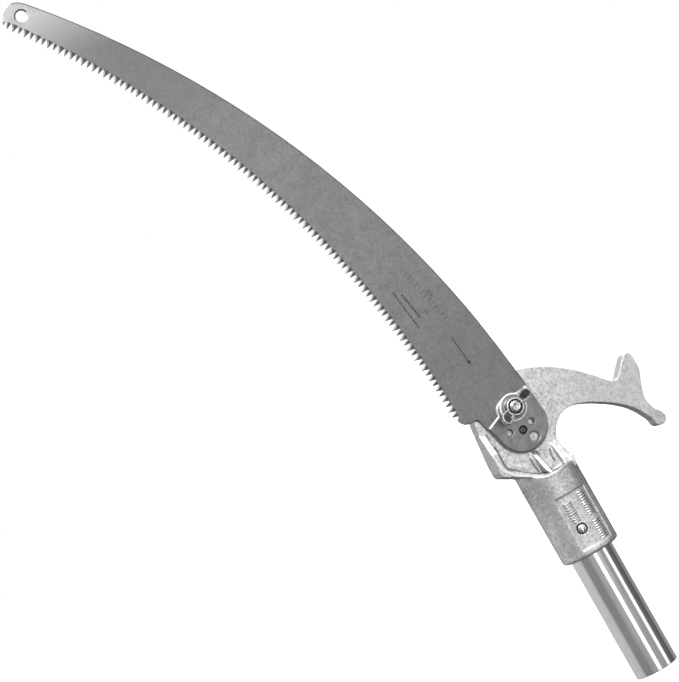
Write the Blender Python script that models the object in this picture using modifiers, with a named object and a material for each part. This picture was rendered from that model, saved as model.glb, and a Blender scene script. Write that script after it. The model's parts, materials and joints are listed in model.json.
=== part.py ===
"""Pole pruning saw head: a cast head with a hook, a curved toothed blade and a stub of pole tube.

The tube runs along +Z from the origin, which is the centre of its open lower end. The blade lies
in the XZ plane in front of the casting, facing -Y, with its teeth towards -X and the hook on +X.
"""
import math

import bmesh
import bpy
from mathutils import Matrix, Vector

MM = 0.001
FACE_GAP = 0.3 * MM          # clearance between faces that bear on each other
FIT_GAP = 0.15 * MM          # radial clearance of a pin in its hole
ROUND_STEPS = 48             # sides of a round piece

# Pole tube
TUBE_OD = 31.75 * MM
TUBE_WALL = 2.0 * MM
TUBE_LENGTH = 147.0 * MM

# Socket of the casting
SOCKET_R = 21.6 * MM
SOCKET_X = 0.3 * MM          # the outside is a little eccentric to the bore
SOCKET_FOOT_Z = 92.0 * MM
SOCKET_TOP_Z = 154.5 * MM
SOCKET_SIDE_Z = 163.0 * MM   # height of the left side, where the rim comes down to the socket
SOCKET_ROUNDING = 2.5 * MM
BORE_TOP_Z = TUBE_LENGTH + FACE_GAP
PANEL_MIDDLE_DEG = 5.0
PANEL_HALF_DEG = 35.0
PANEL_Z = (97.0 * MM, 137.0 * MM)
PANEL_DEPTH = 0.7 * MM

# Plate of the casting, which carries the blade and the hook
PLATE_FRONT_Y = -6.5 * MM
PLATE_BACK_Y = 6.5 * MM
RIM_FRONT_Y = -15.5 * MM
RIM_SLOPE_Z = (184.0 * MM, 199.0 * MM)
RIB_X = (-4.0 * MM, -0.5 * MM)
RIB_TOP_Z = 173.0 * MM
SHOULDER_X = (11.3 * MM, 26.0 * MM)
FAIRING_TOP_Z = 190.0 * MM

# Blade
BLADE_THICKNESS = 1.3 * MM
TOOTH_ARC_CENTRE = (-666.5 * MM, 207.8 * MM)
TOOTH_TIP_R = 624.8 * MM
TOOTH_DEPTH = 5.2 * MM
TOOTH_PITCH = 25.4 * MM / 6
TOOTH_COUNT = 97
TOOTH_START_DEG = 1.0
TOOTH_SET = 0.35 * MM        # each tip leans this far out of the blade's plane
BACK_ARC_CENTRE = (-656.3 * MM, 150.4 * MM)
BACK_ARC_R = 675.8 * MM
TIP_CENTRE = (-166.6 * MM, 599.4 * MM)
TIP_R = 11.2 * MM
TIP_HOLE = (-163.8 * MM, 599.8 * MM)
TIP_HOLE_R = 4.1 * MM
TANG_CENTRE = (-1.0 * MM, 193.0 * MM)
TANG_R = 19.5 * MM

# Blade fastening
BOLT_XZ = (-0.7 * MM, 206.0 * MM)
BOLT_R = 3.97 * MM           # 5/16 inch
BOLT_HEAD_R = 8.7 * MM
BOLT_HEAD_HEIGHT = 4.4 * MM
BOLT_SQUARE = 7.9 * MM
BOLT_SQUARE_DEPTH = 4.5 * MM
PIN_XZ = (-2.0 * MM, 189.0 * MM)
PIN_R = 2.4 * MM
PIN_STANDOFF = 3.3 * MM
PIN_DEPTH = 7.0 * MM
PIN_HOLE_R = 2.9 * MM
SMALL_HOLES_XZ = ((-11.0 * MM, 191.8 * MM), (6.2 * MM, 191.2 * MM))
SMALL_HOLE_R = 2.6 * MM
LARGE_HOLE_XZ = (3.3 * MM, 181.2 * MM)
LARGE_HOLE_R = 3.9 * MM
BOLT_HOLE_R = 4.4 * MM
CLAMP_THICKNESS = 2.3 * MM
CLAMP_INSET = 1.2 * MM
WASHER_R = 9.9 * MM
WASHER_THICKNESS = 1.6 * MM
NUT_BASE_R = 7.3 * MM
NUT_TOP_R = 6.3 * MM
NUT_HEIGHT = 5.2 * MM
WING_ANGLE_DEG = 24.0
WING_TILT_DEG = 32.0         # rise of the dished wings away from the clamp plate
WING_ROOT_R = 3.0 * MM       # where a wing starts inside the hub
WING_ROOT_HEIGHT = 1.6 * MM
WING_UNDER = 1.2 * MM
WING_RIM = 1.6 * MM
BOLT_PROUD = 1.6 * MM        # bolt end beyond the nut

# Stack in front of the plate, from the casting outwards
BLADE_BACK_Y = PLATE_FRONT_Y - FACE_GAP
BLADE_FRONT_Y = BLADE_BACK_Y - BLADE_THICKNESS
CLAMP_BACK_Y = BLADE_FRONT_Y - FACE_GAP
CLAMP_FRONT_Y = CLAMP_BACK_Y - CLAMP_THICKNESS
WASHER_BACK_Y = CLAMP_FRONT_Y - FACE_GAP
WASHER_FRONT_Y = WASHER_BACK_Y - WASHER_THICKNESS
NUT_BASE_Y = WASHER_FRONT_Y - FACE_GAP
BOLT_END_Y = NUT_BASE_Y - NUT_HEIGHT - BOLT_PROUD

# Snap button that locks the tube in the socket
BUTTON_DEG = -9.0            # direction of the button from -Y, towards -X when negative
BUTTON_Z = 111.2 * MM
BUTTON_R = 3.1 * MM
BUTTON_HOLE_R = 3.7 * MM
BUTTON_OUT = 22.0 * MM       # distance of the dome's top from the tube axis
BUTTON_FLANGE_R = 4.5 * MM
BUTTON_FLANGE_THICKNESS = 1.2 * MM
SPRING_THICKNESS = 0.6 * MM
SPRING_WIDTH = 8.0 * MM
SPRING_FOOT_Z = 80.0 * MM
SPRING_HEAD_Z = 119.0 * MM
TUBE_R = TUBE_OD / 2
TUBE_BORE_R = TUBE_R - TUBE_WALL
FLANGE_FRONT = math.sqrt(TUBE_BORE_R ** 2 - BUTTON_FLANGE_R ** 2) - FACE_GAP
FLANGE_BACK = FLANGE_FRONT - BUTTON_FLANGE_THICKNESS


# ---------------------------------------------------------------- outlines

def scaled(points):
    """Points given in millimetres, as metres."""
    return [(a * MM, b * MM) for a, b in points]


def arc(centre, radius, start_deg, end_deg, steps):
    """Points along a circular arc, both ends included."""
    turn = [math.radians(start_deg + (end_deg - start_deg) * i / steps) for i in range(steps + 1)]
    return [(centre[0] + radius * math.cos(a), centre[1] + radius * math.sin(a)) for a in turn]


def smooth(points, steps=4):
    """A Catmull-Rom curve through the points, ends included."""
    ends = [points[0]] + list(points) + [points[-1]]
    curve = []
    for a, b, c, d in zip(ends, ends[1:], ends[2:], ends[3:]):
        for i in range(steps):
            t = i / steps
            curve.append(tuple(
                0.5 * (2 * q + (r - p) * t + (2 * p - 5 * q + 4 * r - s) * t * t
                       + (3 * q - p - 3 * r + s) * t ** 3)
                for p, q, r, s in zip(a, b, c, d)))
    curve.append(points[-1])
    return curve


def on_back_edge(z):
    """The x of the blade's back edge at a height."""
    return BACK_ARC_CENTRE[0] + math.sqrt(BACK_ARC_R ** 2 - (z - BACK_ARC_CENTRE[1]) ** 2)


def arc_angle(centre, point):
    return math.degrees(math.atan2(point[1] - centre[1], point[0] - centre[0]))


def plate_outline():
    """Flat outline of the casting: neck, hook underside, hook tips, arm top and left wall."""
    underside = smooth(scaled([
        (20.0, 156.0), (18.0, 163.5), (17.6, 172.3), (22.7, 180.6), (30.3, 185.6),
        (40.0, 185.7), (51.8, 181.2), (64.8, 173.3), (74.9, 164.9), (81.0, 156.8), (85.2, 148.6)]))
    lower_tip = arc((89.8 * MM, 147.3 * MM), 4.8 * MM, 170, 370, 10)
    outer_side = smooth(scaled([
        (93.3, 151.2), (89.4, 156.7), (87.7, 165.0), (90.6, 174.8), (94.6, 184.4), (94.5, 193.0)]))
    fin_tip = arc((90.8 * MM, 194.9 * MM), 3.7 * MM, 0, 130, 8)
    notch = smooth(scaled([(80.7, 189.8), (77.3, 186.7), (73.4, 186.5), (70.0, 189.0)]))
    arm_top = smooth(scaled([
        (65.0, 194.6), (52.0, 207.2), (37.0, 217.9), (20.0, 225.8), (4.0, 227.5), (-12.0, 224.0),
        (-26.0, 216.0), (-29.6, 208.0)]))
    left_wall = scaled([(-32.4, 182.0), (-33.0, 171.5), (-32.2, 168.0), (-19.5, 160.8), (-18.0, 150.0),
                        (18.0, 150.0)])
    return underside[:-1] + lower_tip + outer_side + fin_tip + notch + arm_top + left_wall


def rim_outline():
    """Band along the left wall and down to the socket, as wide as the rim."""
    outer = scaled([(-30.6, 200.0), (-32.4, 182.0), (-33.0, 171.5), (-32.2, 168.0), (-19.5, 160.8),
                    (-6.0, 153.0)])
    inner = scaled([(-2.5, 153.4), (-5.2, 156.0), (-26.6, 170.2), (-28.2, 173.0), (-27.6, 183.0),
                    (-26.0, 200.0)])
    return outer + inner


def tooth_line():
    """Saw teeth from the heel to the tip: a gullet, then a tip, along the tooth arc."""
    step = math.degrees(TOOTH_PITCH / TOOTH_TIP_R)
    points = []
    for i in range(TOOTH_COUNT):
        start = TOOTH_START_DEG + i * step
        points += arc(TOOTH_ARC_CENTRE, TOOTH_TIP_R + TOOTH_DEPTH, start, start, 1)[:1]
        points += arc(TOOTH_ARC_CENTRE, TOOTH_TIP_R, start + step / 2, start + step / 2, 1)[:1]
    end = TOOTH_START_DEG + TOOTH_COUNT * step
    points += arc(TOOTH_ARC_CENTRE, TOOTH_TIP_R + TOOTH_DEPTH, end, end, 1)[:1]
    return points


def tang_outline(inset=0.0):
    """Right side, round bottom and left side of the tang, from the back edge round to the heel."""
    right = [(on_back_edge(z * MM) - inset, z * MM) for z in (206.0, 200.0)]
    bottom = arc(TANG_CENTRE, TANG_R - inset, 0, -170, 18)
    return right + bottom


def blade_outline():
    """Back edge, tang, heel, teeth and round tip."""
    back_points = [on_back_edge(z * MM) for z in (605.0, 230.0)]
    back = arc(BACK_ARC_CENTRE, BACK_ARC_R,
               arc_angle(BACK_ARC_CENTRE, (back_points[0], 605.0 * MM)),
               arc_angle(BACK_ARC_CENTRE, (back_points[1], 230.0 * MM)), 24)
    heel = scaled([(-26.0, 210.6), (-32.5, 210.7), (-35.6, 211.9), (-37.8, 214.3), (-38.8, 217.2)])
    tip = arc(TIP_CENTRE, TIP_R, 178, 42, 12)
    return back + tang_outline() + heel + tooth_line() + tip


def clamp_outline():
    """Clamp plate over the tang, with a round tab above the bolt."""
    top_z = 215.0 * MM
    body = [(on_back_edge(top_z) - CLAMP_INSET / 2, top_z)] + tang_outline(CLAMP_INSET / 2)
    left = scaled([(-22.9, 201.7), (-12.7, 205.8)])
    tab = smooth(scaled([(-12.5, 208.4), (-10.7, 211.9), (-6.0, 214.4), (-1.0, 215.2), (4.0, 214.5),
                         (8.5, 213.8)]), 3)
    return body + left + tab


# ---------------------------------------------------------------- mesh building

def collection(name, hidden=False):
    made = bpy.data.collections.new(name)
    bpy.context.scene.collection.children.link(made)
    made.hide_render = hidden
    return made


def new_object(name, bm, where, material=None):
    """An object from a bmesh, with its normals outward and its round faces smooth."""
    bmesh.ops.recalc_face_normals(bm, faces=bm.faces)
    mesh = bpy.data.meshes.new(name)
    bm.to_mesh(mesh)
    bm.free()
    mesh.shade_smooth()
    mesh.set_sharp_from_angle(angle=math.radians(32))
    made = bpy.data.objects.new(name, mesh)
    where.objects.link(made)
    if material:
        mesh.materials.append(material)
    return made


def prism(outline, low, high, axis="Y"):
    """A bmesh of an outline carried from low to high along Y (outline in XZ), X (YZ) or Z (XY)."""
    place = {"Y": lambda a, b, h: (a, h, b), "X": lambda a, b, h: (h, a, b),
             "Z": lambda a, b, h: (a, b, h)}[axis]
    bm = bmesh.new()
    near = [bm.verts.new(place(a, b, low)) for a, b in outline]
    far = [bm.verts.new(place(a, b, high)) for a, b in outline]
    bm.faces.new(near)
    bm.faces.new(reversed(far))
    count = len(outline)
    for i in range(count):
        j = (i + 1) % count
        bm.faces.new((near[j], near[i], far[i], far[j]))
    return bm


def cylinder(radius, low, high, steps=ROUND_STEPS, top_radius=None):
    """A bmesh cylinder or cone along Z."""
    bm = bmesh.new()
    bmesh.ops.create_cone(bm, cap_ends=True, segments=steps, radius1=radius,
                          radius2=radius if top_radius is None else top_radius, depth=high - low)
    bmesh.ops.translate(bm, verts=bm.verts, vec=(0, 0, (low + high) / 2))
    return bm


def along_y(bm, x, z):
    """Turns a bmesh made along +Z so that its +Z points to -Y, and puts it at (x, z)."""
    for v in bm.verts:
        v.co = Vector((v.co.x + x, -v.co.z, v.co.y + z))
    return bm


def hole_y(xz, radius, y_front, y_back, steps=24):
    """A round cutter along Y."""
    return along_y(cylinder(radius, -y_back, -y_front, steps), xz[0], xz[1])


def turned(name, profile, where, material=None, steps=ROUND_STEPS):
    """A turned solid about Z: the profile runs down its outer side from top to bottom."""
    mesh = bpy.data.meshes.new(name)
    points = [(r, 0, z) for r, z in profile]
    mesh.from_pydata(points, [(i, i + 1) for i in range(len(points) - 1)], [])
    made = bpy.data.objects.new(name, mesh)
    where.objects.link(made)
    screw = made.modifiers.new("Turn", "SCREW")
    screw.axis = "Z"
    screw.angle = math.tau
    screw.steps = steps
    screw.render_steps = steps
    screw.use_merge_vertices = True
    screw.merge_threshold = 0.00001
    screw.use_smooth_shade = True
    if material:
        mesh.materials.append(material)
    return made


def combine(target, bm_or_object, name, operation, tools):
    """Adds a Boolean with its own tool object, kept out of renders."""
    if isinstance(bm_or_object, bpy.types.Object):
        tool = bm_or_object
    else:
        tool = new_object(name, bm_or_object, tools)
    tool.hide_render = True
    tool.display_type = "WIRE"
    boolean = target.modifiers.new(name, "BOOLEAN")
    boolean.operation = operation
    boolean.solver = "EXACT"
    boolean.object = tool
    return tool


def material(name, colour, metallic, roughness):
    made = bpy.data.materials.new(name)
    made.use_nodes = True
    shader = made.node_tree.nodes["Principled BSDF"]
    shader.inputs["Base Color"].default_value = (*colour, 1)
    shader.inputs["Metallic"].default_value = metallic
    shader.inputs["Roughness"].default_value = roughness
    made.diffuse_color = (*colour, 1)
    return made


def button_frame(made):
    """Turns an object built facing -Y so that it faces along the snap button."""
    made.rotation_euler = (0, 0, math.radians(BUTTON_DEG))


# ---------------------------------------------------------------- the cast head

def sector(radius_in, radius_out, middle_deg, half_deg, steps=14):
    """Outline of part of a ring about the socket, measured from -Y."""
    start = -90 + middle_deg - half_deg
    end = -90 + middle_deg + half_deg
    centre = (SOCKET_X, 0)
    return arc(centre, radius_out, start, end, steps) + arc(centre, radius_in, end, start, steps)


def fairing():
    """Back of the neck: the socket's round back half runs up into the plate."""
    bm = bmesh.new()
    low = [p for p in arc((SOCKET_X, 0), SOCKET_R - 0.4 * MM, -10, 190, 20)]
    for a, b in low:
        bm.verts.new((a, b, SOCKET_TOP_Z - 6 * MM))
    for x in (-17.0 * MM, 13.0 * MM):
        for y in (-2.0 * MM, PLATE_BACK_Y - 0.5 * MM):
            bm.verts.new((x, y, FAIRING_TOP_Z))
    bmesh.ops.convex_hull(bm, input=bm.verts)
    return bm


def gusset(x_range, front_y, top_z):
    """A wedge that stands on the plate and rises towards the front of the socket."""
    foot_z = SOCKET_TOP_Z - 5 * MM
    profile = [(0, foot_z), (front_y, foot_z), (front_y, SOCKET_TOP_Z - 1 * MM),
               (PLATE_FRONT_Y + 0.5 * MM, top_z), (0, top_z)]
    return prism(profile, x_range[0], x_range[1], "X")


def head_casting(parts, tools):
    cast = material("cast_aluminium", (0.62, 0.63, 0.63), 1.0, 0.5)
    head = new_object("head_casting", prism(plate_outline(), PLATE_FRONT_Y, PLATE_BACK_Y), parts, cast)

    # socket, with a rounded lower lip and its top cut along the left rim
    lip = [(SOCKET_ROUNDING * (1 - math.sin(math.radians(a))), SOCKET_ROUNDING * (1 - math.cos(math.radians(a))))
           for a in (0, 22.5, 45, 67.5, 90)]
    profile = [(0, SOCKET_SIDE_Z), (SOCKET_R, SOCKET_SIDE_Z)]
    profile += [(SOCKET_R - drop, SOCKET_FOOT_Z + rise) for rise, drop in lip]
    profile += [(0, SOCKET_FOOT_Z)]
    socket = turned("socket_body", profile, tools, steps=64)
    socket.location = (SOCKET_X, 0, 0)
    above = SOCKET_SIDE_Z + 5 * MM
    top = [(-30 * MM, above), (-30 * MM, 166.7 * MM), (-19.5 * MM, 160.8 * MM), (-8.2 * MM, SOCKET_TOP_Z),
           (30 * MM, SOCKET_TOP_Z), (30 * MM, above)]
    combine(socket, prism(top, -30 * MM, PLATE_BACK_Y - 0.7 * MM), "socket_top", "DIFFERENCE", tools)
    low = SOCKET_TOP_Z - 0.6 * MM
    back_top = [(-30 * MM, above), (-30 * MM, low), (30 * MM, low), (30 * MM, above)]
    back_cut = prism(back_top, PLATE_BACK_Y - 1.5 * MM, 30 * MM)
    combine(socket, back_cut, "socket_back_top", "DIFFERENCE", tools)
    combine(head, socket, "socket_body", "UNION", tools)
    combine(head, fairing(), "neck_fairing", "UNION", tools)

    # rims and rib in front of the plate
    rim = new_object("left_rim", prism(rim_outline(), RIM_FRONT_Y, 0), tools)
    low, high = RIM_SLOPE_Z
    slope = [(RIM_FRONT_Y - 1 * MM, low - 1 * MM), (PLATE_FRONT_Y + 0.6 * MM, high + 1.5 * MM),
             (RIM_FRONT_Y - 1 * MM, high + 1.5 * MM)]
    combine(rim, prism(slope, -45 * MM, 0, "X"), "rim_slope", "DIFFERENCE", tools)
    combine(head, rim, "left_rim", "UNION", tools)
    combine(head, gusset(RIB_X, -20.6 * MM, RIB_TOP_Z), "centre_rib", "UNION", tools)
    shoulder = new_object("right_shoulder", gusset(SHOULDER_X, -14.5 * MM, RIB_TOP_Z), tools)
    neck_side = prism(plate_outline(), -30 * MM, 30 * MM)
    combine(shoulder, neck_side, "shoulder_trim", "INTERSECT", tools)
    combine(head, shoulder, "right_shoulder", "UNION", tools)

    # bore, panel and holes
    bore = cylinder(TUBE_R + FACE_GAP, SOCKET_FOOT_Z - 5 * MM, BORE_TOP_Z, 64)
    combine(head, bore, "tube_bore", "DIFFERENCE", tools)
    panel = sector(SOCKET_R - PANEL_DEPTH, SOCKET_R + 4 * MM, PANEL_MIDDLE_DEG, PANEL_HALF_DEG)
    combine(head, prism(panel, PANEL_Z[0], PANEL_Z[1], "Z"), "panel", "DIFFERENCE", tools)
    port = new_object("button_port", hole_y((0, BUTTON_Z), BUTTON_HOLE_R, -30 * MM, -14 * MM), tools)
    button_frame(port)
    combine(head, port, "button_port", "DIFFERENCE", tools)
    combine(head, hole_y(BOLT_XZ, BOLT_R + FIT_GAP, -10 * MM, 10 * MM), "bolt_hole", "DIFFERENCE", tools)
    half = BOLT_SQUARE / 2 + FIT_GAP
    square = [(BOLT_XZ[0] + a * half, BOLT_XZ[1] + b * half) for a, b in ((-1, -1), (1, -1), (1, 1), (-1, 1))]
    socket_depth = PLATE_BACK_Y - BOLT_SQUARE_DEPTH - FACE_GAP
    combine(head, prism(square, socket_depth, 12 * MM), "bolt_square", "DIFFERENCE", tools)
    pin_hole = hole_y(PIN_XZ, PIN_R + FIT_GAP, -10 * MM, PLATE_FRONT_Y + PIN_DEPTH + FACE_GAP)
    combine(head, pin_hole, "pin_hole", "DIFFERENCE", tools)
    return head


# ---------------------------------------------------------------- blade and its fastening

def saw_blade(parts, tools):
    steel = material("blade_steel", (0.35, 0.35, 0.36), 1.0, 0.4)
    bm = prism(blade_outline(), BLADE_FRONT_Y, BLADE_BACK_Y)
    # set the teeth: tips lean to the front and to the back by turns
    step = TOOTH_PITCH / TOOTH_TIP_R
    for v in bm.verts:
        dx = v.co.x - TOOTH_ARC_CENTRE[0]
        dz = v.co.z - TOOTH_ARC_CENTRE[1]
        turn = (math.atan2(dz, dx) - math.radians(TOOTH_START_DEG)) / step
        if abs(math.hypot(dx, dz) - TOOTH_TIP_R) < 1e-6 and 0 < turn < TOOTH_COUNT:
            v.co.y += TOOTH_SET if int(turn) % 2 else -TOOTH_SET
    bmesh.ops.triangulate(bm, faces=[f for f in bm.faces if len(f.verts) == 4])
    blade = new_object("saw_blade", bm, parts, steel)
    front, back = BLADE_FRONT_Y - 3 * MM, BLADE_BACK_Y + 3 * MM
    combine(blade, hole_y(TIP_HOLE, TIP_HOLE_R, front, back), "tip_hole", "DIFFERENCE", tools)
    fastening_holes(blade, front, back, tools)
    return blade


def fastening_holes(plate, front, back, tools):
    """Bolt, pin and sighting holes, the same in the blade and in the clamp plate."""
    name = plate.name
    combine(plate, hole_y(BOLT_XZ, BOLT_HOLE_R, front, back), name + "_bolt_hole", "DIFFERENCE", tools)
    combine(plate, hole_y(PIN_XZ, PIN_HOLE_R, front, back), name + "_pin_hole", "DIFFERENCE", tools)
    for i, xz in enumerate(SMALL_HOLES_XZ):
        hole = hole_y(xz, SMALL_HOLE_R, front, back)
        combine(plate, hole, f"{name}_small_hole_{i + 1}", "DIFFERENCE", tools)
    hole = hole_y(LARGE_HOLE_XZ, LARGE_HOLE_R, front, back)
    combine(plate, hole, name + "_large_hole", "DIFFERENCE", tools)


def clamp_plate(parts, tools):
    steel = material("clamp_steel", (0.30, 0.30, 0.31), 1.0, 0.42)
    plate = new_object("clamp_plate", prism(clamp_outline(), CLAMP_FRONT_Y, CLAMP_BACK_Y), parts, steel)
    fastening_holes(plate, CLAMP_FRONT_Y - 2 * MM, CLAMP_BACK_Y + 2 * MM, tools)
    return plate


def stand_on_plate(made, y):
    """Places a piece built along +Z on the bolt's axis, pointing to -Y."""
    made.rotation_euler = (math.radians(90), 0, 0)
    made.location = (BOLT_XZ[0], y, BOLT_XZ[1])


def blade_bolt(parts, tools):
    """Carriage bolt: domed head behind the plate, a square neck and a round shank."""
    zinc = material("bolt_zinc", (0.66, 0.66, 0.64), 1.0, 0.3)
    head_y = PLATE_BACK_Y + FACE_GAP
    length = head_y - BOLT_END_Y
    dome = [(BOLT_HEAD_R * math.sin(math.radians(a)), -BOLT_HEAD_HEIGHT * math.cos(math.radians(a)))
            for a in (84, 68, 50, 30, 14)]
    profile = [(0, length), (BOLT_R - 0.7 * MM, length), (BOLT_R, length - 0.7 * MM), (BOLT_R, 0),
               (BOLT_HEAD_R, 0)] + dome + [(0, -BOLT_HEAD_HEIGHT)]
    bolt = turned("blade_bolt", profile, parts, zinc)
    half = BOLT_SQUARE / 2
    neck = [(-half, -half), (half, -half), (half, half), (-half, half)]
    square = new_object("square_neck", prism(neck, -0.5 * MM, BOLT_SQUARE_DEPTH, "Z"), tools)
    stand_on_plate(square, head_y)
    combine(bolt, square, "square_neck", "UNION", tools)
    stand_on_plate(bolt, head_y)
    return bolt


def locating_pin(parts):
    """Steel pin in the plate that keeps the blade from turning about the bolt."""
    steel = material("pin_steel", (0.12, 0.12, 0.13), 1.0, 0.35)
    chamfer = 0.5 * MM
    profile = [(0, PIN_STANDOFF), (PIN_R - chamfer, PIN_STANDOFF), (PIN_R, PIN_STANDOFF - chamfer),
               (PIN_R, -PIN_DEPTH), (0, -PIN_DEPTH)]
    pin = turned("locating_pin", profile, parts, steel, steps=32)
    pin.rotation_euler = (math.radians(90), 0, 0)
    pin.location = (PIN_XZ[0], PLATE_FRONT_Y, PIN_XZ[1])
    return pin


def flat_washer(parts):
    zinc = material("washer_zinc", (0.34, 0.34, 0.35), 1.0, 0.28)
    profile = [(BOLT_HOLE_R, WASHER_THICKNESS), (WASHER_R, WASHER_THICKNESS), (WASHER_R, 0),
               (BOLT_HOLE_R, 0), (BOLT_HOLE_R, WASHER_THICKNESS)]
    washer = turned("flat_washer", profile, parts, zinc)
    stand_on_plate(washer, WASHER_BACK_Y)
    return washer


def both_sides(half):
    """An outline from its lower half, mirrored; the last point lies on the centre line."""
    return smooth(scaled(half + [(a, -b) for a, b in half[-2::-1]]), 3)


def wing_frame(side):
    """Matrix of a wing drawn with X along it, Y across it and Z out of its dished face."""
    turn = math.radians(WING_ANGLE_DEG) + (0 if side > 0 else math.pi)
    tilt = math.radians(WING_TILT_DEG)
    outward = Vector((math.cos(turn), 0, math.sin(turn)))
    axial = Vector((0, -1, 0))
    along = outward * math.cos(tilt) + axial * math.sin(tilt)
    face = axial * math.cos(tilt) - outward * math.sin(tilt)
    root = Vector((BOLT_XZ[0], NUT_BASE_Y, BOLT_XZ[1])) + outward * WING_ROOT_R + axial * WING_ROOT_HEIGHT
    turned_axes = Matrix((along, face.cross(along), face)).transposed().to_4x4()
    return Matrix.Translation(root) @ turned_axes


def dished_wing(side, name, tools):
    """A wing like a shallow spoon: a rounded plate with a raised rim."""
    frame = wing_frame(side)
    plate = prism(both_sides([(0, -2.6), (3, -3.0), (6, -3.8), (8.6, -4.2), (11.3, -4.0), (13.5, -2.5), (14.3, 0)]),
                  -WING_UNDER, WING_RIM, "Z")
    pocket = prism(both_sides([(4.8, -1.4), (6, -2.5), (8.6, -3.0), (11.2, -2.8), (12.5, -1.7), (13.1, 0)]),
                   0, WING_RIM + 1 * MM, "Z")
    for bm in (plate, pocket):
        bmesh.ops.transform(bm, matrix=frame, verts=bm.verts)
    wing = new_object(name, plate, tools)
    combine(wing, pocket, name + "_dish", "DIFFERENCE", tools)
    return wing


def wing_nut(parts, tools):
    zinc = material("wing_nut_zinc", (0.58, 0.58, 0.57), 1.0, 0.32)
    top = NUT_HEIGHT
    profile = [(0, top - 1.0 * MM), (BOLT_HOLE_R, top - 1.0 * MM), (NUT_TOP_R - 1.0 * MM, top),
               (NUT_TOP_R - 0.3 * MM, top), (NUT_TOP_R, top - 0.4 * MM), (NUT_BASE_R - 0.1 * MM, 1.4 * MM),
               (NUT_BASE_R, 1.0 * MM), (NUT_BASE_R, 0), (0, 0)]
    nut = turned("wing_nut", profile, parts, zinc)
    for side, name in ((1, "right_wing"), (-1, "left_wing")):
        combine(nut, dished_wing(side, name, tools), name, "UNION", tools)
    bore = new_object("nut_bore", cylinder(BOLT_R + FIT_GAP, -2 * MM, NUT_HEIGHT + 2 * MM, 32), tools)
    stand_on_plate(bore, NUT_BASE_Y)
    combine(nut, bore, "nut_bore", "DIFFERENCE", tools)
    stand_on_plate(nut, NUT_BASE_Y)
    return nut


# ---------------------------------------------------------------- tube and snap button

def pole_tube(parts, tools):
    """Open tube with the snap button's hole through its front wall."""
    polished = material("tube_aluminium", (0.80, 0.81, 0.82), 1.0, 0.12)
    profile = [(TUBE_BORE_R, TUBE_LENGTH), (TUBE_R, TUBE_LENGTH), (TUBE_R, 0), (TUBE_BORE_R, 0),
               (TUBE_BORE_R, TUBE_LENGTH)]
    tube = turned("pole_tube", profile, parts, polished, steps=64)
    port = new_object("tube_port", hole_y((0, BUTTON_Z), BUTTON_HOLE_R, -25 * MM, -5 * MM), tools)
    button_frame(port)
    combine(tube, port, "tube_port", "DIFFERENCE", tools)
    return tube


def snap_button(parts):
    """Domed button with a flange that stops it inside the tube."""
    chrome = material("button_chrome", (0.85, 0.85, 0.86), 1.0, 0.1)
    dome_height = 1.5 * MM
    dome = [(BUTTON_R * math.sin(math.radians(a)),
             BUTTON_OUT - dome_height * (1 - math.cos(math.radians(a)))) for a in (0, 25, 45, 65, 80, 90)]
    profile = dome + [(BUTTON_R, FLANGE_FRONT), (BUTTON_FLANGE_R, FLANGE_FRONT),
                      (BUTTON_FLANGE_R, FLANGE_BACK), (0, FLANGE_BACK)]
    button = turned("snap_button", profile, parts, chrome, steps=32)
    turn = math.radians(BUTTON_DEG)
    button.rotation_euler = (math.radians(90), 0, turn)
    button.location = (0, 0, BUTTON_Z)
    return button


def snap_spring(parts):
    """V spring inside the tube: one leg lies on the far wall, the other holds the button out."""
    steel = material("spring_steel", (0.45, 0.46, 0.48), 1.0, 0.25)
    outer_y = -(FLANGE_BACK - FACE_GAP)
    # half a chord of the spring's width keeps its edges off the round wall
    far_y = math.sqrt(TUBE_BORE_R ** 2 - (SPRING_WIDTH / 2) ** 2) - FACE_GAP
    bend_r = 3.0 * MM
    bend = (far_y - bend_r, SPRING_FOOT_Z)
    centre_line = [(outer_y, SPRING_HEAD_Z), (outer_y, BUTTON_Z - 8 * MM)]
    centre_line += arc(bend, bend_r, 205, 360, 10)
    centre_line += [(far_y, SPRING_HEAD_Z)]
    near, far = [], []
    for i, point in enumerate(centre_line):
        a = Vector(centre_line[max(i - 1, 0)])
        b = Vector(centre_line[min(i + 1, len(centre_line) - 1)])
        along = (b - a).normalized()
        side = Vector((-along.y, along.x)) * SPRING_THICKNESS
        near.append(tuple(point))
        far.append((point[0] + side.x, point[1] + side.y))
    bm = prism(near + far[::-1], -SPRING_WIDTH / 2, SPRING_WIDTH / 2, "X")
    spring = new_object("snap_spring", bm, parts, steel)
    button_frame(spring)
    return spring


def main():
    for old in list(bpy.data.objects):
        bpy.data.objects.remove(old, do_unlink=True)
    parts = collection("pole_saw_head")
    tools = collection("cutters", hidden=True)
    head_casting(parts, tools)
    saw_blade(parts, tools)
    clamp_plate(parts, tools)
    blade_bolt(parts, tools)
    locating_pin(parts)
    flat_washer(parts)
    wing_nut(parts, tools)
    pole_tube(parts, tools)
    snap_button(parts)
    snap_spring(parts)


main()
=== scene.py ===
"""Studio view of a pole pruning saw head: cast head with a hook, clamped toothed blade, tube stub.

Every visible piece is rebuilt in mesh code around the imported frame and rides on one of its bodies.
"""
import json
import math
from functools import partial

import bmesh
import bpy
from mathutils import Matrix, Vector, noise


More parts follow.
